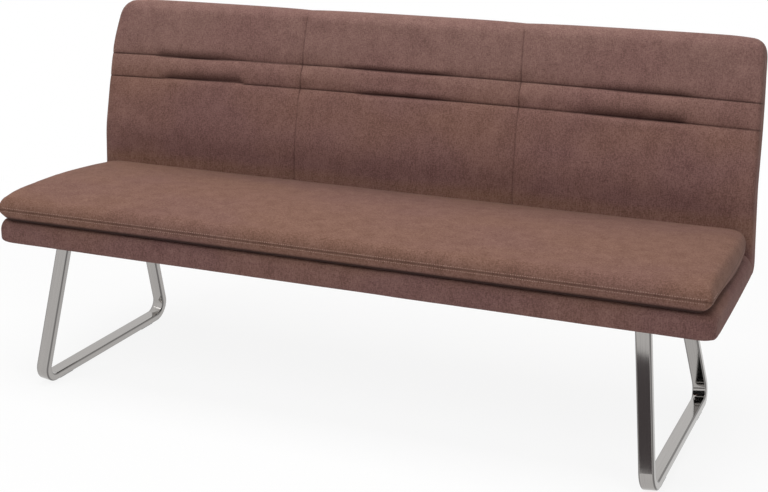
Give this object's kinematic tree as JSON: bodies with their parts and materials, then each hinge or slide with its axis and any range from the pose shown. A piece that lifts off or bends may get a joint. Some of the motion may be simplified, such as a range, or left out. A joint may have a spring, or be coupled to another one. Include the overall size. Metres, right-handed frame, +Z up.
{
  "type": "dining bench",
  "caption": "Long upholstered dining bench with a reclined back, a thick seat cushion on a flat padded base, and splayed skids of bent steel tube.",
  "frame": {"origin": "on the floor, under the middle of the whole bench", "axes": "+X along the bench to the right of someone who faces it, +Y towards its back, +Z up; the sitter faces -Y"},
  "size_m": [1.8, 0.625, 0.9171],
  "materials": {
    "cover_fabric": "matt brown suede-like microfibre with a fine mottle",
    "foam": "open-cell foam",
    "frame_wood": "planed beech",
    "webbing": "woven elastic strap",
    "dust_cloth": "thin black fleece",
    "skid_steel": "satin brushed stainless",
    "zinc_steel": "bright zinc plate",
    "glide_plastic": "fine texture"
  },
  "bodies": {
    "root": {"back_cover_left": "cover_fabric", "back_cover_middle": "cover_fabric", "back_cover_rear": "cover_fabric", "back_cover_right": "cover_fabric", "back_foam": "foam", "back_inner_post_left": "frame_wood", "back_inner_post_right": "frame_wood", "back_lower_rail": "frame_wood", "back_middle_rail": "frame_wood", "back_outer_post_left": "frame_wood", "back_outer_post_right": "frame_wood", "back_top_rail": "frame_wood", "back_webbing": "webbing", "floor_glides": "glide_plastic", "post_bolts": "zinc_steel", "post_nuts": "zinc_steel", "seat_base_cover": "cover_fabric", "seat_base_foam": "foam", "seat_centre_rail": "frame_wood", "seat_corner_blocks": "frame_wood", "seat_cross_rail_left": "frame_wood", "seat_cross_rail_right": "frame_wood", "seat_cushion_border": "cover_fabric", "seat_cushion_foam": "foam", "seat_cushion_top_cover": "cover_fabric", "seat_dust_cloth": "dust_cloth", "seat_end_rail_left": "frame_wood", "seat_end_rail_right": "frame_wood", "seat_front_rail": "frame_wood", "seat_rear_rail": "frame_wood", "seat_webbing": "webbing", "skid_bolts": "zinc_steel", "skid_nuts": "zinc_steel", "skid_plate_left": "skid_steel", "skid_plate_right": "skid_steel", "skid_tube_left": "skid_steel", "skid_tube_right": "skid_steel"}
  },
  "joints": []
}
